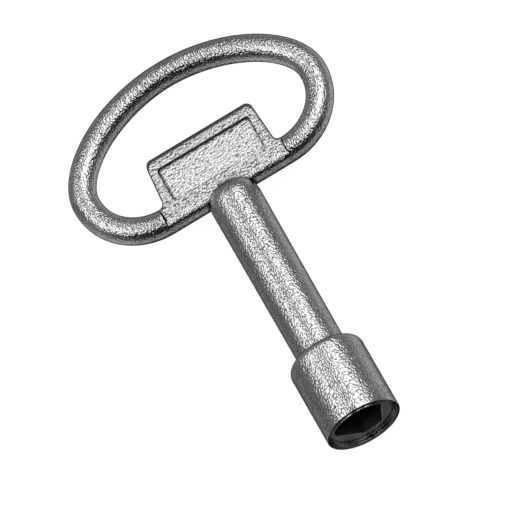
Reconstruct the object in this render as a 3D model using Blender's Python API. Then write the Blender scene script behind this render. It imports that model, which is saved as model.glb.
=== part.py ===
"""Radiator bleed key: an oval bow with a name tab, a round stem and a barrel with a triangular socket.

The key is modelled upright about its own axis: local Z is the distance from the socket's mouth, local X
runs across the bow and local Y runs from the front face to the back. One empty, key_axis, then lays the
whole key on its back, so that in the world +Y runs from the mouth to the bow and +Z is the front.
Every dimension below is in millimetres.
"""

import math

import bmesh
import bpy
from mathutils import Vector

MM = 0.001

# Overall
LENGTH = 86.0
JOINT_GAP = 0.3

# Bow: a round rod bent into an oval with a straight lower run
ROD_RADIUS = 2.66
ROD_TOP_RADIUS = 2.57
ROD_SIDE_RADIUS = 2.68
BOW_HALF_WIDTH = 24.5
BOW_TOP_Z = LENGTH - ROD_TOP_RADIUS
BOW_WIDEST_Z = 68.25
RUN_Z = 56.83
SEAM_X = 13.2
TOP_HANDLE = 12.75
SIDE_HANDLE_UP = 7.35
SIDE_HANDLE_DOWN = 7.3
RUN_HANDLE = 5.3
SPIGOT_RADIUS = 1.2
SPIGOT_LENGTH = 4.0
ROD_SIDES = 24
BOW_STEPS = 20

# Tab: the flat plate that fills the bow's foot, with a blank sunk field on each face
TAB_THICKNESS = 4.3
TAB_TOP_Z = 69.33
TAB_TOP_HALF_WIDTH = 11.3
TAB_FOOT_HALF_WIDTH = 12.2
TAB_CORNER_RADIUS = 1.2
TAB_TOP_ROUND = 2.0
FIELD_HALF_WIDTH = 9.85
FIELD_LOW_Z = 58.73
FIELD_HIGH_Z = 66.1
FIELD_DEPTH = 0.75
FIELD_CORNER_RADIUS = 0.6

# Stem: a round bar with a rounded end that straddles the tab, and a tang that enters the barrel
STEM_LOW_RADIUS = 4.9
STEM_HIGH_RADIUS = 5.05
STEM_TOP_Z = 57.15
DOME_RADIUS = 4.0
TANG_RADIUS = 3.5
TANG_BOTTOM_Z = 12.0

# Barrel: a sleeve with a rounded shoulder
BARREL_RADIUS = 7.5
BARREL_LENGTH = 16.6
SHOULDER_RADIUS = 1.75
MOUTH_ROUND = 0.3
BORE_RADIUS = 6.3
BORE_DEPTH = 11.6

# Drive insert: a sleeve with a triangular hole, sunk in the barrel's mouth
INSERT_RECESS = 1.0
DRIVE_INRADIUS = 4.15
DRIVE_CORNER_RADIUS = 5.45
DRIVE_FIRST_FLAT_DEG = 15.0

# Construction
TURNED_SEGMENTS = 48
HOLE_SIDES = 16
CUT_MARGIN = 1.0
SHARP_ANGLE_DEG = 35.0


def clear_scene():
    for obj in list(bpy.data.objects):
        bpy.data.objects.remove(obj, do_unlink=True)


def metal(name, colour, roughness):
    """A Principled metal of one colour and roughness."""
    material = bpy.data.materials.new(name)
    material.use_nodes = True
    shader = material.node_tree.nodes["Principled BSDF"]
    shader.inputs["Base Color"].default_value = (*colour, 1.0)
    shader.inputs["Metallic"].default_value = 1.0
    shader.inputs["Roughness"].default_value = roughness
    return material


def arc(centre_u, centre_v, radius, start_deg, end_deg, steps):
    """Points (u, v) along an arc, both ends included."""
    points = []
    for step in range(steps + 1):
        angle = math.radians(start_deg + (end_deg - start_deg) * step / steps)
        points.append((centre_u + radius * math.cos(angle), centre_v + radius * math.sin(angle)))
    return points


def bezier(start, start_handle, end_handle, end, steps):
    """Points (x, z) along a cubic Bezier curve, both ends included."""
    points = []
    for step in range(steps + 1):
        t = step / steps
        weights = ((1 - t) ** 3, 3 * (1 - t) ** 2 * t, 3 * (1 - t) * t**2, t**3)
        corners = (start, start_handle, end_handle, end)
        points.append(tuple(sum(w * c[i] for w, c in zip(weights, corners)) for i in (0, 1)))
    return points


def add_object(name, bm, parent):
    """Turn a closed bmesh in millimetres into an object in metres on the key's axis."""
    bmesh.ops.recalc_face_normals(bm, faces=bm.faces)
    bmesh.ops.scale(bm, vec=(MM, MM, MM), verts=bm.verts)
    mesh = bpy.data.meshes.new(name)
    bm.to_mesh(mesh)
    bm.free()
    obj = bpy.data.objects.new(name, mesh)
    bpy.context.scene.collection.objects.link(obj)
    obj.parent = parent
    return obj


def finish_piece(obj, material, station):
    """Place the piece on the axis, give it its metal and shade its round faces smooth."""
    obj.location = (0.0, 0.0, station * MM)
    obj.data.materials.append(material)
    obj.data.shade_smooth()
    obj.data.set_sharp_from_angle(angle=math.radians(SHARP_ANGLE_DEG))


def boolean(obj, operand, operation, station):
    """Join or cut obj with a hidden operand that stands at the given distance from the mouth."""
    operand.location = (0.0, 0.0, station * MM)
    operand.hide_render = True
    operand.display_type = "WIRE"
    modifier = obj.modifiers.new(operand.name, "BOOLEAN")
    modifier.operation = operation
    modifier.solver = "EXACT"
    modifier.object = operand


def spun(profile, closed):
    """Spin a profile of (radius, z) points about Z. An open profile starts and ends on the axis."""
    bm = bmesh.new()
    verts = [bm.verts.new((radius, 0.0, z)) for radius, z in profile]
    edges = [bm.edges.new(pair) for pair in zip(verts, verts[1:])]
    if closed:
        edges.append(bm.edges.new((verts[-1], verts[0])))
    bmesh.ops.spin(
        bm,
        geom=verts + edges,
        cent=(0.0, 0.0, 0.0),
        axis=(0.0, 0.0, 1.0),
        angle=2.0 * math.pi,
        steps=TURNED_SEGMENTS,
        use_merge=True,
    )
    bmesh.ops.remove_doubles(bm, verts=bm.verts, dist=0.0001)
    return bm


def extruded(points, travel):
    """A prism: the flat outline through the points, carried along the travel vector."""
    bm = bmesh.new()
    face = bm.faces.new([bm.verts.new(point) for point in points])
    made = bmesh.ops.extrude_face_region(bm, geom=[face])
    moved = [item for item in made["geom"] if isinstance(item, bmesh.types.BMVert)]
    bmesh.ops.translate(bm, vec=travel, verts=moved)
    return bm


def rod_radius(x):
    """The rod is a little thicker at the oval's two ends than at its top."""
    if abs(x) <= SEAM_X:
        return ROD_TOP_RADIUS + (ROD_RADIUS - ROD_TOP_RADIUS) * abs(x) / SEAM_X
    share = (abs(x) - SEAM_X) / (BOW_HALF_WIDTH - SEAM_X)
    return ROD_RADIUS + (ROD_SIDE_RADIUS - ROD_RADIUS) * share


def bow_centreline():
    """The rod's centreline from the right seam over the top to the left seam, about the run's height."""
    seam = (SEAM_X, 0.0)
    side = (BOW_HALF_WIDTH, BOW_WIDEST_Z - RUN_Z)
    top = (0.0, BOW_TOP_Z - RUN_Z)
    below_side = (side[0], side[1] - SIDE_HANDLE_DOWN)
    above_side = (side[0], side[1] + SIDE_HANDLE_UP)
    low = bezier(seam, (seam[0] + RUN_HANDLE, seam[1]), below_side, side, BOW_STEPS)
    high = bezier(side, above_side, (TOP_HANDLE, top[1]), top, BOW_STEPS)
    right = low + high[1:]
    return right + [(-x, z) for x, z in reversed(right[:-1])]


def make_bow(parent):
    """The bent rod, with a thin spigot on each end that enters the tab's lower run."""
    along = Vector((1.0, 0.0, 0.0))
    across = Vector((0.0, 1.0, 0.0))
    path = [Vector((x, 0.0, z)) for x, z in bow_centreline()]
    tangents = [(after - before).normalized() for before, after in zip(path, path[2:])]
    tangents = [along] + tangents + [along]
    rod = [(point, tangent, rod_radius(point.x)) for point, tangent in zip(path, tangents)]
    spigot = along * SPIGOT_LENGTH
    first = [(path[0] - spigot, along, SPIGOT_RADIUS), (path[0], along, SPIGOT_RADIUS)]
    last = [(path[-1], along, SPIGOT_RADIUS), (path[-1] + spigot, along, SPIGOT_RADIUS)]

    bm = bmesh.new()
    loops = []
    for centre, tangent, radius in first + rod + last:
        outward = across.cross(tangent)
        loop = []
        for side in range(ROD_SIDES):
            angle = 2.0 * math.pi * side / ROD_SIDES
            reach = math.cos(angle) * outward + math.sin(angle) * across
            loop.append(bm.verts.new(centre + radius * reach))
        loops.append(loop)
    for one, two in zip(loops, loops[1:]):
        for side in range(ROD_SIDES):
            after = (side + 1) % ROD_SIDES
            bm.faces.new((one[side], one[after], two[after], two[side]))
    bm.faces.new(loops[0])
    bm.faces.new(loops[-1])
    bow = add_object("bow", bm, parent)
    finish_piece(bow, metal("bow_zinc", (0.62, 0.62, 0.63), 0.36), RUN_Z)


def run_section(radius, half_width):
    """Section (y, z) of the lower run about its centre: a round rod with its front and back cut flat."""
    rise = math.degrees(math.acos(half_width / radius))
    return arc(0.0, 0.0, radius, 180.0 + rise, 360.0 - rise, 12) + arc(0.0, 0.0, radius, rise, 180.0 - rise, 12)


def tab_outline():
    """The plate's outline (x, z) about the lower run's centre, with rounded top corners."""
    height = TAB_TOP_Z - RUN_Z
    lean = math.degrees(math.atan2(TAB_FOOT_HALF_WIDTH - TAB_TOP_HALF_WIDTH, height))
    corner_x = TAB_TOP_HALF_WIDTH - TAB_CORNER_RADIUS
    corner_z = height - TAB_CORNER_RADIUS
    corner = arc(corner_x, corner_z, TAB_CORNER_RADIUS, lean, 90.0, 6)
    right = [(TAB_FOOT_HALF_WIDTH, 0.0)] + corner
    return right + [(-x, z) for x, z in reversed(right)]


def make_tab(parent):
    """The plate and the lower run as one piece, sunk on both faces and bored for the bow's spigots."""
    half = TAB_THICKNESS / 2.0
    bm = extruded([(x, -half, z) for x, z in tab_outline()], (0.0, TAB_THICKNESS, 0.0))
    tab = add_object("tab_plate", bm, parent)

    reach = SEAM_X + CUT_MARGIN
    round_z = TAB_TOP_Z - RUN_Z - TAB_TOP_ROUND
    land = half - TAB_TOP_ROUND
    crown = arc(land, round_z, TAB_TOP_ROUND, 0.0, 90.0, 6)
    crown += arc(-land, round_z, TAB_TOP_ROUND, 90.0, 180.0, 6)
    side = half + CUT_MARGIN
    crown = [(side, -CUT_MARGIN), (side, round_z - CUT_MARGIN)] + crown
    crown += [(-side, round_z - CUT_MARGIN), (-side, -CUT_MARGIN)]
    rounder = extruded([(-reach, y, z) for y, z in crown], (2.0 * reach, 0.0, 0.0))
    boolean(tab, add_object("top_round", rounder, parent), "INTERSECT", RUN_Z)

    end = SEAM_X - JOINT_GAP
    section = run_section(ROD_RADIUS, half)
    run = extruded([(-end, y, z) for y, z in section], (2.0 * end, 0.0, 0.0))
    boolean(tab, add_object("lower_run", run, parent), "UNION", RUN_Z)

    low = FIELD_LOW_Z + FIELD_CORNER_RADIUS - RUN_Z
    high = FIELD_HIGH_Z - FIELD_CORNER_RADIUS - RUN_Z
    side = FIELD_HALF_WIDTH - FIELD_CORNER_RADIUS
    field = []
    for x, z, start in ((side, high, 0.0), (-side, high, 90.0), (-side, low, 180.0), (side, low, 270.0)):
        field += arc(x, z, FIELD_CORNER_RADIUS, start, start + 90.0, 3)
    for name, floor, travel in (
        ("field_front", -half + FIELD_DEPTH, -2.0 * FIELD_DEPTH),
        ("field_back", half - FIELD_DEPTH, 2.0 * FIELD_DEPTH),
    ):
        cutter = extruded([(x, floor, z) for x, z in field], (0.0, travel, 0.0))
        boolean(tab, add_object(name, cutter, parent), "DIFFERENCE", RUN_Z)

    hole = arc(0.0, 0.0, SPIGOT_RADIUS + JOINT_GAP, 0.0, 360.0, HOLE_SIDES)[:-1]
    depth = SPIGOT_LENGTH + JOINT_GAP
    for name, start in (("socket_right", SEAM_X - depth), ("socket_left", -SEAM_X - CUT_MARGIN)):
        cutter = extruded([(start, y, z) for y, z in hole], (depth + CUT_MARGIN, 0.0, 0.0))
        boolean(tab, add_object(name, cutter, parent), "DIFFERENCE", RUN_Z)
    finish_piece(tab, metal("tab_zinc", (0.66, 0.66, 0.67), 0.42), RUN_Z)


def make_stem(parent):
    """The round bar: a tang, a slightly tapered shank and a rounded end sawn to fit the lower run."""
    shoulder = BARREL_LENGTH + JOINT_GAP
    flat = STEM_HIGH_RADIUS - DOME_RADIUS
    dome = arc(flat, STEM_TOP_Z - DOME_RADIUS, DOME_RADIUS, 0.0, 90.0, 8)
    profile = [(0.0, TANG_BOTTOM_Z), (TANG_RADIUS, TANG_BOTTOM_Z), (TANG_RADIUS, shoulder)]
    profile += [(STEM_LOW_RADIUS, shoulder)] + dome + [(0.0, STEM_TOP_Z)]
    stem = add_object("stem", spun([(r, z - shoulder) for r, z in profile], closed=False), parent)

    half = TAB_THICKNESS / 2.0 + JOINT_GAP
    section = run_section(ROD_RADIUS + JOINT_GAP, half)
    reach = STEM_HIGH_RADIUS + CUT_MARGIN
    saw = extruded([(-reach, y, z) for y, z in section], (2.0 * reach, 0.0, 0.0))
    boolean(stem, add_object("saddle_cut", saw, parent), "DIFFERENCE", RUN_Z)
    finish_piece(stem, metal("stem_zinc", (0.62, 0.62, 0.63), 0.36), shoulder)


def make_barrel(parent):
    """The sleeve: a rounded shoulder outside, one bore for the drive insert and one for the tang."""
    edge = BARREL_RADIUS - MOUTH_ROUND
    mouth = arc(edge, MOUTH_ROUND, MOUTH_ROUND, 270.0, 360.0, 3)
    top = BARREL_LENGTH - SHOULDER_RADIUS
    shoulder = arc(BARREL_RADIUS - SHOULDER_RADIUS, top, SHOULDER_RADIUS, 0.0, 90.0, 7)
    tang_bore = TANG_RADIUS + JOINT_GAP
    inside = [(tang_bore, BARREL_LENGTH), (tang_bore, BORE_DEPTH), (BORE_RADIUS, BORE_DEPTH)]
    lip = [(BORE_RADIUS, MOUTH_ROUND), (BORE_RADIUS + MOUTH_ROUND, 0.0)]
    barrel = add_object("socket_barrel", spun(mouth + shoulder + inside + lip, closed=True), parent)
    finish_piece(barrel, metal("barrel_zinc", (0.62, 0.62, 0.63), 0.36), 0.0)


def drive_outline():
    """The triangular hole's outline (x, y): three flats joined by arcs about the key's axis."""
    half_flat = math.degrees(math.acos(DRIVE_INRADIUS / DRIVE_CORNER_RADIUS))
    outline = []
    for flat in range(3):
        facing = DRIVE_FIRST_FLAT_DEG + 120.0 * flat
        outline += arc(0.0, 0.0, DRIVE_CORNER_RADIUS, facing + half_flat, facing + 120.0 - half_flat, 6)
    return outline


def make_insert(parent):
    """The broached sleeve that turns the valve's triangular head."""
    length = BORE_DEPTH - JOINT_GAP - INSERT_RECESS
    radius = BORE_RADIUS - JOINT_GAP
    bm = spun([(0.0, 0.0), (radius, 0.0), (radius, length), (0.0, length)], closed=False)
    insert = add_object("drive_insert", bm, parent)
    travel = length + 2.0 * CUT_MARGIN
    hole = extruded([(x, y, -CUT_MARGIN) for x, y in drive_outline()], (0.0, 0.0, travel))
    boolean(insert, add_object("triangle_cut", hole, parent), "DIFFERENCE", INSERT_RECESS)
    finish_piece(insert, metal("drive_steel", (0.3, 0.3, 0.31), 0.5), INSERT_RECESS)


def make_key():
    clear_scene()
    axis = bpy.data.objects.new("key_axis", None)
    bpy.context.scene.collection.objects.link(axis)
    axis.location = (0.0, -LENGTH / 2.0 * MM, BARREL_RADIUS * MM)
    axis.rotation_euler = (math.radians(-90.0), 0.0, 0.0)
    make_bow(axis)
    make_tab(axis)
    make_stem(axis)
    make_barrel(axis)
    make_insert(axis)


make_key()
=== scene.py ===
"""Looks for the radiator bleed key: five finely meshed pieces in blasted zinc, a pale floor and soft light.

Shapes are worked out in the key's own frame, in millimetres: x across the bow, y from the front face to
the back and z from the socket's mouth to the bow's top. to_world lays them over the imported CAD.
"""

import math

import bpy
import numpy as np
from mathutils import Matrix, Vector, noise


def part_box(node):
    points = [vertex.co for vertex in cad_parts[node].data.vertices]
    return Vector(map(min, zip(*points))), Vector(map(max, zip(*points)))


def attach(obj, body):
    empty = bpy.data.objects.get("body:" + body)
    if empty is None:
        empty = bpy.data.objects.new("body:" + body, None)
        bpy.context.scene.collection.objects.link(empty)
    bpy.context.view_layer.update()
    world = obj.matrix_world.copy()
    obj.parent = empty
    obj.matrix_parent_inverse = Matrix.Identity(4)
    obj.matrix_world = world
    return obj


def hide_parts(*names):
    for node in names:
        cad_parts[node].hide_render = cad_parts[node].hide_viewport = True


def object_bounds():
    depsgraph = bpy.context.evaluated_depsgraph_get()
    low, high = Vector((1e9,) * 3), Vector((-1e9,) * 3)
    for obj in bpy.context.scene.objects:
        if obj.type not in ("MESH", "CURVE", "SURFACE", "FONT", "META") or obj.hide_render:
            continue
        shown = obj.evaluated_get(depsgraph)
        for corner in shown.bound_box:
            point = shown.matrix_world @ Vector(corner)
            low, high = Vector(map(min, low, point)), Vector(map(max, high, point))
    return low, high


MM = 0.001
GAP = 0.3

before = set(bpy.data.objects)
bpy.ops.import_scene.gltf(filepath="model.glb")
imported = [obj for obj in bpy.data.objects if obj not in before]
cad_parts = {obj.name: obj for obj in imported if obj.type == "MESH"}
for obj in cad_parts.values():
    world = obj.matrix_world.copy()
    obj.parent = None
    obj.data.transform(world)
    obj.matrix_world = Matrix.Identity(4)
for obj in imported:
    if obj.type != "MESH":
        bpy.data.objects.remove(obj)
cad_low, cad_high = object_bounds()


def size_mm(node):
    """Width, length and height of a CAD node in millimetres."""
    low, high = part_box(node)
    return tuple((high - low) / MM)


def top_z(node):
    """Distance of a CAD node's far end from the socket's mouth, in millimetres."""
    return (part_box(node)[1].y - MOUTH_Y) / MM


barrel_low, barrel_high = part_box("socket_barrel")
MOUTH_Y = barrel_low.y
AXIS_HEIGHT = (barrel_low.z + barrel_high.z) / 2.0

# Barrel
BARREL_RADIUS = size_mm("socket_barrel")[0] / 2.0
BARREL_LENGTH = size_mm("socket_barrel")[1]
SHOULDER_RADIUS = 1.75
MOUTH_ROUND = 0.25
BORE_RADIUS = 6.3
COLLAR_ROUND = 0.1
COLLAR_WIDTH = 0.25
DISH_DEPTH = 0.3
BORE_DEPTH = top_z("drive_insert") + GAP
TANG_BORE_RADIUS = 3.8
TRUE_WALL = 1.0

# Stem
STEM_HIGH_RADIUS = size_mm("stem")[0] / 2.0
STEM_TAPER = 0.15
STEM_LOW_RADIUS = STEM_HIGH_RADIUS - STEM_TAPER
STEM_TOP_Z = top_z("stem")
DOME_RADIUS = 4.0
STEM_TOP_FLAT = 0.1
STEM_SINK = 0.4

# Drive insert
INSERT_TOP_Z = top_z("drive_insert")
INSERT_RECESS = 1.0
DRIVE_INRADIUS = 4.15
DRIVE_CORNER_RADIUS = 5.45
DRIVE_FIRST_FLAT_DEG = 15.0
DRIVE_EDGE_ROUND = 0.25

# Bow
ROD_RADIUS = 2.66
ROD_TOP_RADIUS = 2.57
ROD_SIDE_RADIUS = 2.68
BOW_HALF_WIDTH = size_mm("bow")[0] / 2.0 - ROD_SIDE_RADIUS
BOW_TOP_Z = top_z("bow") - ROD_TOP_RADIUS
BOW_WIDEST_Z = 68.25
RUN_Z = (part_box("bow")[0].y - MOUTH_Y) / MM + ROD_RADIUS
SEAM_X = size_mm("tab_plate")[0] / 2.0 + GAP
TOP_HANDLE = 12.75
SIDE_HANDLE_UP = 7.35
SIDE_HANDLE_DOWN = 7.3
RUN_HANDLE = 5.3

# Tab
TAB_HALF = size_mm("tab_plate")[2] / 2.0
TAB_HEIGHT = top_z("tab_plate") - RUN_Z
TAB_TOP_HALF_WIDTH = 11.3
TAB_FOOT_HALF_WIDTH = 12.2
TAB_CORNER_RADIUS = 1.2
TAB_SIDE_ROUND = 0.45
TAB_TOP_ROUND = 2.0
TAB_FOOT_RADIUS = 1.0
SEAM_ROUND = 0.2
SEAM_ROUND_FROM = 0.5
TAB_TOP_FADE = (3.0, 1.0)
FIELD_HALF_WIDTH = 9.85
FIELD_LOW = 58.73 - RUN_Z
FIELD_HIGH = 66.1 - RUN_Z
FIELD_DEPTH = 0.75
FIELD_CORNER_RADIUS = 0.6
FIELD_FLOOR_ROUND = 0.2
FIELD_EDGE_ROUND = 0.1

# Mesh fineness
TURNED_SEGMENTS = 200
TURNED_STEP = 0.5
ROD_SIDES = 64
BOW_STEPS = 130
NET_STEP = 0.13
NEWTON_STEPS = 4
PROBE = 0.01
FLAT_WEIGHT = 60

# Slow waviness of a casting's skin, always inward so that no piece grows
WAVE_DEPTH = 0.03
WAVE_LENGTH = 5.0

# Blasted skin: spacing and depth of the grain, the pits, the dimples and the stains, in millimetres
GRAIN_MM = 0.3
GRAIN_DEPTH = 0.018
PIT_MM = 0.5
PIT_DEPTH = 0.02
DIMPLE_MM = 0.46
PATCH_MM = 7.0

# Range of the noise that grain and stains are read over, and the range in which a pit sets in
NOISE_LOW = 0.3
NOISE_HIGH = 0.7
PIT_FROM = 0.57
PIT_TO = 0.67

# Share of the tone left at the grain's low and high spots and in a pit, and under the painted shade in a
# crevice
GRAIN_TONE_LOW = 0.92
GRAIN_TONE_HIGH = 1.05
PIT_TONE = 0.5
CREVICE_SHADE_TONE = 0.08

# How far a stain changes the tone and the roughness
STAIN = 0.02

# Change of roughness from the grain's low spots to its high spots
GRAIN_ROUGH_LOW = 0.03
GRAIN_ROUGH_HIGH = -0.02

# Ambient occlusion at which the painted crevice shade is darkest and at which none is painted
OCCLUDED = 0.58
OPEN = 0.94

# A normal's component from which a face is one of the tab's flats, or an end that gets painted shade
FLAT_FROM = 0.93
FLAT_TO = 0.995
SHADED_END_FROM = 0.50
SHADED_END_TO = 0.66

# Tone left under painted shade on the mouth's end face and on the tab's rounded edges, and tone left on the
# tab's land around the sunk field
MOUTH_SHADE_TONE = 0.15
EDGE_SHADE_TONE = 0.5
LAND_TONE = 0.9

# Distance over which the skin changes at the mouth and above the tab's lower run
CHANGE_MM = 1.0

# Dimple tilt at the mouth, on the sunk field's floor and on the land, as shares of the usual tilt
MOUTH_TILT = 0.3
FIELD_TILT = 1.05
LAND_TILT = 1.4

# Finishes: tone, roughness and dimple tilt
SKIN = (0.60, 0.12, 0.36)
TAB_FLATS = (0.87, 0.29, 0.63)
SOCKET_STEEL = (0.32, 0.40, 0.10)


def to_world(points):
    """Key-frame points in millimetres as world points in metres."""
    x, y, z = points[:, 0], points[:, 1], points[:, 2]
    return np.column_stack((x * MM, MOUTH_Y + z * MM, AXIS_HEIGHT - y * MM))


def arc(centre_u, centre_v, radius, start_deg, end_deg, steps):
    """Points (u, v) along an arc, both ends included."""
    angles = np.radians(np.linspace(start_deg, end_deg, steps + 1))
    return [(centre_u + radius * math.cos(a), centre_v + radius * math.sin(a)) for a in angles]


def waved(points, normals):
    """Points pushed inward along their normals by a slow noise, which is the same each run."""
    moved = np.empty_like(points)
    for index, (point, normal) in enumerate(zip(points, normals)):
        level = 0.5 + 0.5 * noise.noise(Vector(point) / WAVE_LENGTH)
        moved[index] = point - normal * WAVE_DEPTH * min(max(level, 0.0), 1.0)
    return moved


def add_piece(name, node, material, points, faces, normals=None):
    """A smooth-shaded mesh piece that stands for one CAD node and rides on the key's body."""
    mesh = bpy.data.meshes.new(name)
    mesh.from_pydata(to_world(points).tolist(), [], faces)
    mesh.validate()
    mesh.materials.append(material)
    mesh.shade_smooth()
    if normals is not None:
        turned_normals = np.column_stack((normals[:, 0], normals[:, 2], -normals[:, 1]))
        mesh.normals_split_custom_set_from_vertices(turned_normals.tolist())
    piece = bpy.data.objects.new(name, mesh)
    bpy.context.scene.collection.objects.link(piece)
    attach(piece, "root")
    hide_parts(node)
    return piece


def weigh_normals(piece, sharp_deg):
    """Keeps flat faces flat beside rounded edges, and creases above the angle crisp."""
    piece.data.set_sharp_from_angle(angle=math.radians(sharp_deg))
    modifier = piece.modifiers.new("weighted_normals", "WEIGHTED_NORMAL")
    modifier.keep_sharp = True
    modifier.weight = FLAT_WEIGHT


def ring_faces(rings, count):
    """Quads between neighbouring rings of points, with the last ring joined to the first."""
    faces = []
    for ring in range(rings):
        low = ring * count
        high = (ring + 1) % rings * count
        for side in range(count):
            after = (side + 1) % count
            faces.append((low + side, low + after, high + after, high + side))
    return faces


def capped_faces(rings, count):
    """Quads between neighbouring rings, with a flat face over the first ring and over the last."""
    last = (rings - 1) * count
    faces = ring_faces(rings, count)[:last]
    faces.append(tuple(reversed(range(count))))
    faces.append(tuple(range(last, last + count)))
    return faces


def refined(profile, longest):
    """The profile with long stretches divided, so that the mesh has even quads."""
    points = [profile[0]]
    for start, end in zip(profile, profile[1:]):
        parts = max(1, math.ceil(math.dist(start, end) / longest))
        for part in range(1, parts + 1):
            share = part / parts
            points.append(tuple(s + (e - s) * share for s, e in zip(start, end)))
    return points


def round_angles(count):
    """Evenly spaced directions around an axis, in radians."""
    return np.linspace(0.0, 2.0 * math.pi, count, endpoint=False)


def turned(profile):
    """Points of a profile of (radius, z) turned about the key's axis. A radius may differ by direction."""
    angles = round_angles(TURNED_SEGMENTS)
    rings = []
    for radius, z in profile:
        height = np.full(TURNED_SEGMENTS, z)
        rings.append(np.column_stack((radius * np.cos(angles), radius * np.sin(angles), height)))
    return np.vstack(rings)


def radial(points):
    """Unit directions from the key's axis to the points."""
    outward = points * (1.0, 1.0, 0.0)
    return outward / np.linalg.norm(outward, axis=1)[:, None]


# ---------------------------------------------------------------- pieces


def build_barrel(material):
    """The sleeve: rounded shoulder, mouth ring dished around a thin collar, bore and tang hole."""
    edge = BARREL_RADIUS - MOUTH_ROUND
    top = BARREL_LENGTH - SHOULDER_RADIUS
    outside = arc(edge, MOUTH_ROUND, MOUTH_ROUND, -90.0, 0.0, 8)
    outside += arc(BARREL_RADIUS - SHOULDER_RADIUS, top, SHOULDER_RADIUS, 0.0, 90.0, 16)
    inside = [(TANG_BORE_RADIUS, BARREL_LENGTH), (TANG_BORE_RADIUS, BORE_DEPTH), (BORE_RADIUS, BORE_DEPTH)]
    collar = arc(BORE_RADIUS + COLLAR_ROUND, COLLAR_ROUND, COLLAR_ROUND, 180.0, 340.0, 10)
    collar.append((BORE_RADIUS + COLLAR_WIDTH, DISH_DEPTH))
    profile = refined(outside + inside + collar + outside[:1], TURNED_STEP)[:-1]
    points = turned(profile)
    outer = np.hypot(points[:, 0], points[:, 1]) > BORE_RADIUS + TRUE_WALL
    points[outer] = waved(points[outer], radial(points[outer]))
    faces = ring_faces(len(profile), TURNED_SEGMENTS)
    piece = add_piece("barrel", "socket_barrel", material, points, faces)
    weigh_normals(piece, sharp_deg=40.0)


def build_stem(material):
    """The round bar: slightly thicker towards the bow, with a rounded end over the tab's foot."""
    bottom = BARREL_LENGTH - STEM_SINK
    flat = STEM_HIGH_RADIUS - DOME_RADIUS
    dome = arc(flat, STEM_TOP_Z - DOME_RADIUS, DOME_RADIUS, 0.0, 90.0, 24)
    profile = refined([(STEM_LOW_RADIUS, bottom)] + dome + [(STEM_TOP_FLAT, STEM_TOP_Z)], TURNED_STEP)
    points = turned(profile)
    points = waved(points, radial(points))
    faces = capped_faces(len(profile), TURNED_SEGMENTS)
    piece = add_piece("stem_bar", "stem", material, points, faces)
    weigh_normals(piece, sharp_deg=60.0)


def triangle_reach(angles):
    """Distance from the axis to the triangular hole's wall in each direction."""
    reach = np.full_like(angles, DRIVE_CORNER_RADIUS)
    least = DRIVE_INRADIUS / DRIVE_CORNER_RADIUS
    for flat in range(3):
        facing = math.radians(DRIVE_FIRST_FLAT_DEG + 120.0 * flat)
        across = np.maximum(np.cos(angles - facing), least)
        reach = np.minimum(reach, DRIVE_INRADIUS / across)
    return reach


def build_insert(material):
    """The sleeve with a triangular hole, sunk in the barrel's mouth and rounded at the hole's edge."""
    hole = triangle_reach(round_angles(TURNED_SEGMENTS))
    lip = arc(DRIVE_EDGE_ROUND, INSERT_RECESS + DRIVE_EDGE_ROUND, DRIVE_EDGE_ROUND, 180.0, 270.0, 5)
    profile = [(BORE_RADIUS, INSERT_RECESS), (BORE_RADIUS, INSERT_TOP_Z), (hole, INSERT_TOP_Z)]
    profile += [(hole + outward, z) for outward, z in lip]
    faces = ring_faces(len(profile), TURNED_SEGMENTS)
    piece = add_piece("drive_sleeve", "drive_insert", material, turned(profile), faces)
    weigh_normals(piece, sharp_deg=25.0)


def rod_radius(x):
    """The rod is a little thicker at the oval's two ends than at its top."""
    if abs(x) <= SEAM_X:
        return ROD_TOP_RADIUS + (ROD_RADIUS - ROD_TOP_RADIUS) * abs(x) / SEAM_X
    share = (abs(x) - SEAM_X) / (BOW_HALF_WIDTH - SEAM_X)
    return ROD_RADIUS + (ROD_SIDE_RADIUS - ROD_RADIUS) * share


def bezier(corners, steps):
    """Points along a cubic Bezier curve, both ends included."""
    t = np.linspace(0.0, 1.0, steps + 1)[:, None]
    a, b, c, d = (np.array(corner) for corner in corners)
    return (1 - t) ** 3 * a + 3 * (1 - t) ** 2 * t * b + 3 * (1 - t) * t**2 * c + t**3 * d


def bow_centreline():
    """The rod's centreline (x, z) from the right seam over the top to the left seam."""
    seam = (SEAM_X, RUN_Z)
    seam_handle = (SEAM_X + RUN_HANDLE, RUN_Z)
    side = (BOW_HALF_WIDTH, BOW_WIDEST_Z)
    side_below = (BOW_HALF_WIDTH, BOW_WIDEST_Z - SIDE_HANDLE_DOWN)
    side_above = (BOW_HALF_WIDTH, BOW_WIDEST_Z + SIDE_HANDLE_UP)
    top_handle = (TOP_HANDLE, BOW_TOP_Z)
    top = (0.0, BOW_TOP_Z)
    low = bezier((seam, seam_handle, side_below, side), BOW_STEPS)
    high = bezier((side, side_above, top_handle, top), BOW_STEPS)
    right = np.vstack((low, high[1:]))
    left = right[-2::-1] * (-1.0, 1.0)
    return np.vstack((right, left))


def build_bow(material):
    """The bent rod, with flat ends that butt against the tab."""
    path = bow_centreline()
    tangents = np.gradient(path, axis=0)
    tangents /= np.linalg.norm(tangents, axis=1)[:, None]
    tangents[0] = tangents[-1] = (1.0, 0.0)
    angles = round_angles(ROD_SIDES)[:, None]
    rings = []
    normals = []
    for (x, z), (run, rise) in zip(path, tangents):
        outward = np.cos(angles) * (rise, 0.0, -run) + np.sin(angles) * (0.0, 1.0, 0.0)
        rings.append((x, 0.0, z) + rod_radius(x) * outward)
        normals.append(outward)
    points = waved(np.vstack(rings), np.vstack(normals))
    faces = capped_faces(len(rings), ROD_SIDES)
    piece = add_piece("bow_rod", "bow", material, points, faces)
    weigh_normals(piece, sharp_deg=50.0)


def round_and(a, b, radius):
    """Inside both, with a rounded edge."""
    corner = np.hypot(np.maximum(a + radius, 0.0), np.maximum(b + radius, 0.0))
    return np.minimum(np.maximum(a, b), -radius) + corner


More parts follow.
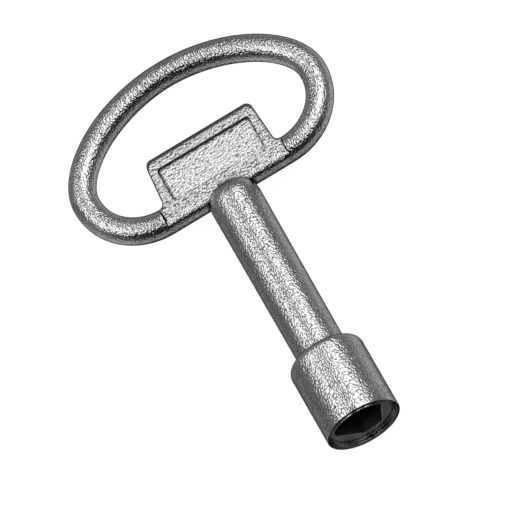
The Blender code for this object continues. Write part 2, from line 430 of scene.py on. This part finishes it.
def round_or(a, b, radius):
    """Inside either, with a fillet."""
    return -round_and(-a, -b, radius)


def smooth_step(value, low, high):
    """0 up to low, 1 from high, and a smooth rise between them."""
    share = np.clip((value - low) / (high - low), 0.0, 1.0)
    return share * share * (3.0 - 2.0 * share)


def tab_distance(points):
    """Signed distance to the tab's skin, about the lower run's centre; negative is metal."""
    x, y, z = np.abs(points[..., 0]), np.abs(points[..., 1]), points[..., 2]
    lean = math.atan2(TAB_FOOT_HALF_WIDTH - TAB_TOP_HALF_WIDTH, TAB_HEIGHT)
    side = (x - TAB_TOP_HALF_WIDTH) * math.cos(lean) + (z - TAB_HEIGHT) * math.sin(lean)
    rod = np.hypot(y, z) - ROD_RADIUS
    body = round_or(np.maximum(side, -z), rod, TAB_FOOT_RADIUS)
    seam_round = SEAM_ROUND * smooth_step(z, -SEAM_ROUND_FROM, SEAM_ROUND_FROM)
    body = round_and(body, x - SEAM_X, seam_round)
    slab = round_and(z - TAB_HEIGHT, y - TAB_HALF, TAB_TOP_ROUND)
    near_top = smooth_step(z, *(TAB_HEIGHT - below for below in TAB_TOP_FADE))
    rounding = TAB_SIDE_ROUND + (TAB_CORNER_RADIUS - TAB_SIDE_ROUND) * near_top
    body = round_and(body, slab, rounding)
    middle = (FIELD_LOW + FIELD_HIGH) / 2.0
    field = round_and(x - FIELD_HALF_WIDTH, np.abs(z - middle) - (FIELD_HIGH - middle), FIELD_CORNER_RADIUS)
    field = round_and(field, TAB_HALF - FIELD_DEPTH - y, FIELD_FLOOR_ROUND)
    return round_and(body, -field, FIELD_EDGE_ROUND)


def slope(distance, points):
    """Unit gradient of a distance function at the points, and its length."""
    rise = np.empty_like(points)
    for axis in range(3):
        shift = np.zeros(3)
        shift[axis] = PROBE
        rise[:, axis] = (distance(points + shift) - distance(points - shift)) / (2.0 * PROBE)
    length = np.linalg.norm(rise, axis=1)[:, None]
    return rise / np.maximum(length, 1e-6), length


def surface_net(distance, low, high, step):
    """A closed quad mesh of a distance function's zero surface: points, faces and normals."""
    axes = [np.arange(low[i], high[i] + step, step) for i in range(3)]
    grid = np.stack(np.meshgrid(*axes, indexing="ij"), axis=-1)
    value = distance(grid)
    total = np.zeros_like(grid)
    count = np.zeros(value.shape)
    crossings = []
    for axis in range(3):
        b, c = (axis + 1) % 3, (axis + 2) % 3
        ahead = np.roll(value, -1, axis)
        crossing = (value < 0.0) != (ahead < 0.0)
        share = np.where(crossing, value / np.where(crossing, value - ahead, 1.0), 0.0)
        point = grid.copy()
        point[..., axis] += share * step
        point *= crossing[..., None]
        for shift_b in (0, 1):
            for shift_c in (0, 1):
                total += np.roll(point, (-shift_b, -shift_c), (b, c))
                count += np.roll(crossing, (-shift_b, -shift_c), (b, c))
        crossings.append((crossing, b, c))
    used = count > 0
    index = np.full(value.shape, -1)
    index[used] = np.arange(used.sum())
    points = total[used] / count[used][:, None]
    faces = []
    for axis, (crossing, b, c) in enumerate(crossings):
        cells = [index, np.roll(index, 1, b), np.roll(index, (1, 1), (b, c)), np.roll(index, 1, c)]
        quads = np.stack([cell[crossing] for cell in cells], axis=-1)
        leaving = value[crossing] < 0.0
        faces += quads[leaving].tolist() + quads[~leaving][:, ::-1].tolist()
    for _ in range(NEWTON_STEPS):
        normals, length = slope(distance, points)
        points = points - normals * distance(points)[:, None] / np.maximum(length, 0.5)
    return points, faces, slope(distance, points)[0]


def build_tab(material):
    """The plate and lower run in one skin, with a blank sunk field on each face."""
    margin = 3.0 * NET_STEP
    low = (-SEAM_X - margin, -ROD_RADIUS - margin, -ROD_RADIUS - margin)
    high = (SEAM_X + margin, ROD_RADIUS + margin, TAB_HEIGHT + margin)
    points, faces, normals = surface_net(tab_distance, low, high, NET_STEP)
    points[:, 2] += RUN_Z
    add_piece("name_tab", "tab_plate", material, points, faces, normals)


# ---------------------------------------------------------------- materials


class Nodes:
    """A short way to add and link shader nodes."""

    def __init__(self, tree):
        self.tree = tree

    def add(self, kind, **settings):
        """A new node with the given settings."""
        node = self.tree.nodes.new(kind)
        for name, value in settings.items():
            setattr(node, name, value)
        return node

    def link(self, source, target):
        """Joins one socket to another."""
        self.tree.links.new(source, target)

    def noise(self, position, spacing_mm, detail):
        """Noise of the given spacing, about 0 to 1."""
        node = self.add("ShaderNodeTexNoise")
        node.inputs["Scale"].default_value = 1.0 / (spacing_mm * MM)
        node.inputs["Detail"].default_value = detail
        self.link(position, node.inputs["Vector"])
        return node.outputs["Fac"]

    def remap(self, value, from_low, from_high, to_low, to_high, smooth=False):
        """The value carried from one range to another, and held at the ends."""
        node = self.add("ShaderNodeMapRange", interpolation_type="SMOOTHSTEP" if smooth else "LINEAR")
        node.inputs["From Min"].default_value = from_low
        node.inputs["From Max"].default_value = from_high
        node.inputs["To Min"].default_value = to_low
        node.inputs["To Max"].default_value = to_high
        self.link(value, node.inputs["Value"])
        return node.outputs["Result"]

    def math(self, operation, *values):
        """One arithmetic operation on sockets and numbers."""
        node = self.add("ShaderNodeMath", operation=operation)
        for socket, value in zip(node.inputs, values):
            if isinstance(value, (int, float)):
                socket.default_value = value
            else:
                self.link(value, socket)
        return node.outputs["Value"]

    def multiply(self, first, *others):
        """The product of all the values."""
        product = first
        for other in others:
            product = self.math("MULTIPLY", product, other)
        return product

    def vector(self, operation, *values):
        """One vector operation on sockets."""
        node = self.add("ShaderNodeVectorMath", operation=operation)
        for socket, value in zip(node.inputs, values):
            self.link(value, socket)
        return node.outputs["Vector"]

    def split(self, vector):
        """The vector's three outputs, named X, Y and Z."""
        node = self.add("ShaderNodeSeparateXYZ")
        self.link(vector, node.inputs["Vector"])
        return node.outputs

    def grey(self, value):
        """The value in all three channels."""
        node = self.add("ShaderNodeCombineColor")
        for socket in node.inputs:
            self.link(value, socket)
        return node.outputs["Color"]


def cast_metal(name, crevice_mm, end_tone, skin, flats=None, dark_mouth=False):
    """Blasted metal: grain and sparse pits in relief, small dimples that glint, stains, and painted shade
    in crevices.

    crevice_mm is how far the painted crevice shade spreads from a crevice. skin and flats are finishes
    (tone, roughness, dimple tilt), and flats holds on the front and back faces. end_tone is the share of
    tone left on faces towards the bow end, as painted shade, and with dark_mouth those towards the mouth
    get painted shade too.
    """
    material = bpy.data.materials.new(name)
    material.use_nodes = True
    n = Nodes(material.node_tree)
    shader = material.node_tree.nodes["Principled BSDF"]
    shader.inputs["Metallic"].default_value = 1.0
    place = n.add("ShaderNodeTexCoord").outputs["Object"]
    spot = n.split(place)
    normal = n.split(n.add("ShaderNodeTexCoord").outputs["Normal"])

    tone, rough, tilt = skin
    # Painted shade: faces towards the bow end are darkened in colour
    painted_end_shade = n.remap(normal["Y"], SHADED_END_FROM, SHADED_END_TO, 1.0, end_tone, smooth=True)
    if dark_mouth:
        # Painted shade: faces towards the mouth's end are darkened as well
        mouth = n.remap(normal["Y"], -SHADED_END_FROM, -SHADED_END_TO, 1.0, MOUTH_SHADE_TONE, smooth=True)
        painted_end_shade = n.multiply(painted_end_shade, mouth)
        tilt = n.remap(spot["Y"], MOUTH_Y, MOUTH_Y + CHANGE_MM * MM, MOUTH_TILT * tilt, tilt)
    if flats is not None:
        facing = n.math("ABSOLUTE", normal["Z"])
        depth = n.math("ABSOLUTE", n.math("SUBTRACT", spot["Z"], AXIS_HEIGHT))
        floor, land = (TAB_HALF - FIELD_DEPTH) * MM, TAB_HALF * MM
        run_top = MOUTH_Y + (RUN_Z + ROD_RADIUS) * MM
        # Painted shade: the tab's rounded edges above the lower run are darkened in colour
        rounded = n.remap(facing, FLAT_FROM, FLAT_TO, 1.0, 0.0, smooth=True)
        rounded = n.multiply(rounded, n.remap(spot["Y"], run_top, run_top + CHANGE_MM * MM, 0.0, 1.0))
        painted_edge_shade = n.remap(rounded, 0.0, 1.0, 1.0, EDGE_SHADE_TONE)
        land_tone = n.remap(depth, floor, land, 1.0, LAND_TONE)
        painted_end_shade = n.multiply(painted_end_shade, painted_edge_shade, land_tone)
        tone, rough, tilt = (
            n.remap(facing, FLAT_FROM, FLAT_TO, low, high, smooth=True) for low, high in zip(skin, flats)
        )
        tilt = n.multiply(tilt, n.remap(depth, floor, land, FIELD_TILT, LAND_TILT))

    grain = n.noise(place, GRAIN_MM, detail=0.0)
    patch = n.noise(place, PATCH_MM, detail=3.0)
    speck = n.noise(place, PIT_MM, detail=2.0)
    pits = n.remap(speck, PIT_FROM, PIT_TO, 0.0, 1.0, smooth=True)
    stain = n.remap(patch, NOISE_LOW, NOISE_HIGH, -STAIN, STAIN)
    occluded = n.add("ShaderNodeAmbientOcclusion", samples=8)
    occluded.inputs["Distance"].default_value = crevice_mm * MM

    worn = n.remap(grain, NOISE_LOW, NOISE_HIGH, GRAIN_TONE_LOW, GRAIN_TONE_HIGH)
    # Darker in the pits
    pit_darkening = n.remap(pits, 0.0, 1.0, 1.0, PIT_TONE)
    # Painted shade: crevices found by ambient occlusion are darkened in colour
    painted_crevice_shade = n.remap(occluded.outputs["AO"], OCCLUDED, OPEN, CREVICE_SHADE_TONE, 1.0)
    colour = n.multiply(n.math("ADD", stain, tone), painted_end_shade, worn, pit_darkening, painted_crevice_shade)
    n.link(n.grey(colour), shader.inputs["Base Color"])

    uneven = n.math("ADD", stain, n.remap(grain, NOISE_LOW, NOISE_HIGH, GRAIN_ROUGH_LOW, GRAIN_ROUGH_HIGH))
    n.link(n.math("ADD", uneven, rough), shader.inputs["Roughness"])

    relief = n.math("SUBTRACT", n.multiply(grain, GRAIN_DEPTH), n.multiply(pits, PIT_DEPTH))
    bump = n.add("ShaderNodeBump")
    bump.inputs["Strength"].default_value = 1.0
    bump.inputs["Distance"].default_value = MM
    n.link(relief, bump.inputs["Height"])
    dimples = n.add("ShaderNodeTexVoronoi")
    dimples.inputs["Scale"].default_value = 1.0 / (DIMPLE_MM * MM)
    n.link(place, dimples.inputs["Vector"])
    from_middle = n.vector("SUBTRACT", place, dimples.outputs["Position"])
    lean = n.vector("MULTIPLY", from_middle, n.grey(n.math("DIVIDE", tilt, DIMPLE_MM * MM)))
    leaning = n.vector("ADD", bump.outputs["Normal"], lean)
    n.link(n.vector("NORMALIZE", leaning), shader.inputs["Normal"])
    return material


# ---------------------------------------------------------------- studio

CAMERA_RIGHT = Vector((0.857, -0.444, -0.262))
CAMERA_UP = Vector((0.514, 0.777, 0.363))
CAMERA_DISTANCE = 3.333
CAMERA_LENS = 1266.0
CAMERA_SENSOR = 36.0
FRAMING_RIGHT = -0.000781
FRAMING_UP = -0.002298

WHITE = (1.0, 1.0, 1.0, 1.0)
FLOOR_GREY = (0.2, 0.2, 0.2, 1.0)
FLOOR_GLOW = 0.95
FLOOR_HALF = 3.0
FLOOR_GAP = 0.00002

# Soft lights: name, centre, width and length, brightness
SOFTBOXES = (
    ("softbox_right", (0.265, 0.07, 0.42), (0.45, 0.58), 1.75),
    ("softbox_left", (-0.30, 0.07, 0.42), (0.40, 0.58), 1.62),
)

# Room brightness by height: the level below, then lower and upper sine of the elevation and the change
LOW_LEVEL = 0.52
ROOM_STEPS = (
    (-0.45, -0.05, -0.32),
    (0.30, 0.90, 0.03),
)

# Darker and brighter parts of the room: direction, inner and outer half angle in degrees, share of light
ROOM_LOBES = (
    ((-0.46, -0.86, 0.26), 24.0, 46.0, 0.2),
    ((0.46, -0.86, 0.26), 24.0, 46.0, 0.2),
    ((0.0, -0.80, 0.60), 14.0, 34.0, 0.25),
    ((-0.04, 0.45, -0.89), 26.0, 48.0, 0.08),
    ((0.0, -0.34, -0.94), 18.0, 34.0, 0.1),
    ((-0.86, 0.42, -0.29), 8.0, 21.0, 0.3),
    ((0.68, 0.43, -0.59), 12.0, 34.0, 1.15),
    ((-0.04, 0.10, 0.99), 24.0, 48.0, 0.12),
)


def add_camera():
    """A long lens above the key's mouth end, rolled so that the key runs from upper left to lower right."""
    right = CAMERA_RIGHT.normalized()
    back = right.cross(CAMERA_UP).normalized()
    up = back.cross(right)
    centre = (cad_low + cad_high) / 2.0
    place = centre + right * FRAMING_RIGHT + up * FRAMING_UP + back * CAMERA_DISTANCE
    data = bpy.data.cameras.new("camera")
    data.lens = CAMERA_LENS
    data.sensor_width = CAMERA_SENSOR
    data.clip_start = 0.1
    data.clip_end = 20.0
    camera = bpy.data.objects.new("camera", data)
    bpy.context.scene.collection.objects.link(camera)
    camera.matrix_world = Matrix.Translation(place) @ Matrix((right, up, back)).transposed().to_4x4()
    bpy.context.scene.camera = camera


def add_softbox(name, centre, size, radiance):
    """A rectangular soft light above the key, facing straight down, of the given brightness."""
    data = bpy.data.lights.new(name, "AREA")
    data.shape = "RECTANGLE"
    data.size, data.size_y = size
    data.energy = math.pi * size[0] * size[1] * radiance
    light = bpy.data.objects.new(name, data)
    light.location = centre
    light.visible_camera = False
    bpy.context.scene.collection.objects.link(light)


def lobe(n, direction, axis, inner_deg, outer_deg, share):
    """The share of light left within inner_deg of the axis, rising or falling to 1 at outer_deg."""
    dot = n.add("ShaderNodeVectorMath", operation="DOT_PRODUCT")
    n.link(direction, dot.inputs[0])
    dot.inputs[1].default_value = Vector(axis).normalized()
    near, far = math.cos(math.radians(inner_deg)), math.cos(math.radians(outer_deg))
    return n.remap(dot.outputs["Value"], far, near, 1.0, share, smooth=True)


def add_world():
    """White for the camera, and for everything else a grey room with darker and brighter parts."""
    world = bpy.data.worlds.new("studio")
    world.use_nodes = True
    bpy.context.scene.world = world
    n = Nodes(world.node_tree)
    world.node_tree.nodes.clear()
    direction = n.add("ShaderNodeTexCoord").outputs["Generated"]
    height = n.split(direction)["Z"]
    level = LOW_LEVEL
    for low, high, change in ROOM_STEPS:
        level = n.math("ADD", n.remap(height, low, high, 0.0, change, smooth=True), level)
    for axis, inner_deg, outer_deg, share in ROOM_LOBES:
        level = n.multiply(level, lobe(n, direction, axis, inner_deg, outer_deg, share))
    room = n.add("ShaderNodeBackground")
    n.link(n.grey(level), room.inputs["Color"])
    white = n.add("ShaderNodeBackground")
    white.inputs["Color"].default_value = WHITE
    pick = n.add("ShaderNodeMixShader")
    n.link(n.add("ShaderNodeLightPath").outputs["Is Camera Ray"], pick.inputs["Fac"])
    n.link(room.outputs[0], pick.inputs[1])
    n.link(white.outputs[0], pick.inputs[2])
    n.link(pick.outputs[0], n.add("ShaderNodeOutputWorld").inputs["Surface"])


def add_floor():
    """A plain pale floor under the key, bright enough to hold only a faint shadow."""
    height = cad_low.z - FLOOR_GAP
    corners = [(x * FLOOR_HALF, y * FLOOR_HALF, height) for x, y in ((-1, -1), (1, -1), (1, 1), (-1, 1))]
    mesh = bpy.data.meshes.new("floor")
    mesh.from_pydata(corners, [], [(0, 1, 2, 3)])
    material = bpy.data.materials.new("pale_floor")
    material.use_nodes = True
    n = Nodes(material.node_tree)
    shader = material.node_tree.nodes["Principled BSDF"]
    shader.inputs["Base Color"].default_value = FLOOR_GREY
    shader.inputs["Roughness"].default_value = 0.9
    shader.inputs["Specular IOR Level"].default_value = 0.0
    shader.inputs["Emission Color"].default_value = WHITE
    shader.inputs["Emission Strength"].default_value = FLOOR_GLOW
    mesh.materials.append(material)
    floor = bpy.data.objects.new("floor", mesh)
    floor.visible_glossy = False
    bpy.context.scene.collection.objects.link(floor)


def add_studio():
    """The camera, the lights, the room and the floor."""
    add_camera()
    for softbox in SOFTBOXES:
        add_softbox(*softbox)
    add_world()
    add_floor()
    bpy.context.scene.view_settings.view_transform = "Standard"


def build_key():
    """The five pieces, each in its own metal."""
    build_bow(cast_metal("bow_zinc", crevice_mm=1.2, end_tone=0.6, skin=SKIN))
    build_tab(cast_metal("tab_zinc", crevice_mm=0.7, end_tone=0.6, skin=SKIN, flats=TAB_FLATS))
    build_stem(cast_metal("stem_zinc", crevice_mm=1.2, end_tone=0.2, skin=SKIN))
    build_barrel(cast_metal("barrel_zinc", crevice_mm=0.12, end_tone=0.2, skin=SKIN, dark_mouth=True))
    build_insert(cast_metal("socket_steel", crevice_mm=0.5, end_tone=1.0, skin=SOCKET_STEEL))


build_key()
add_studio()
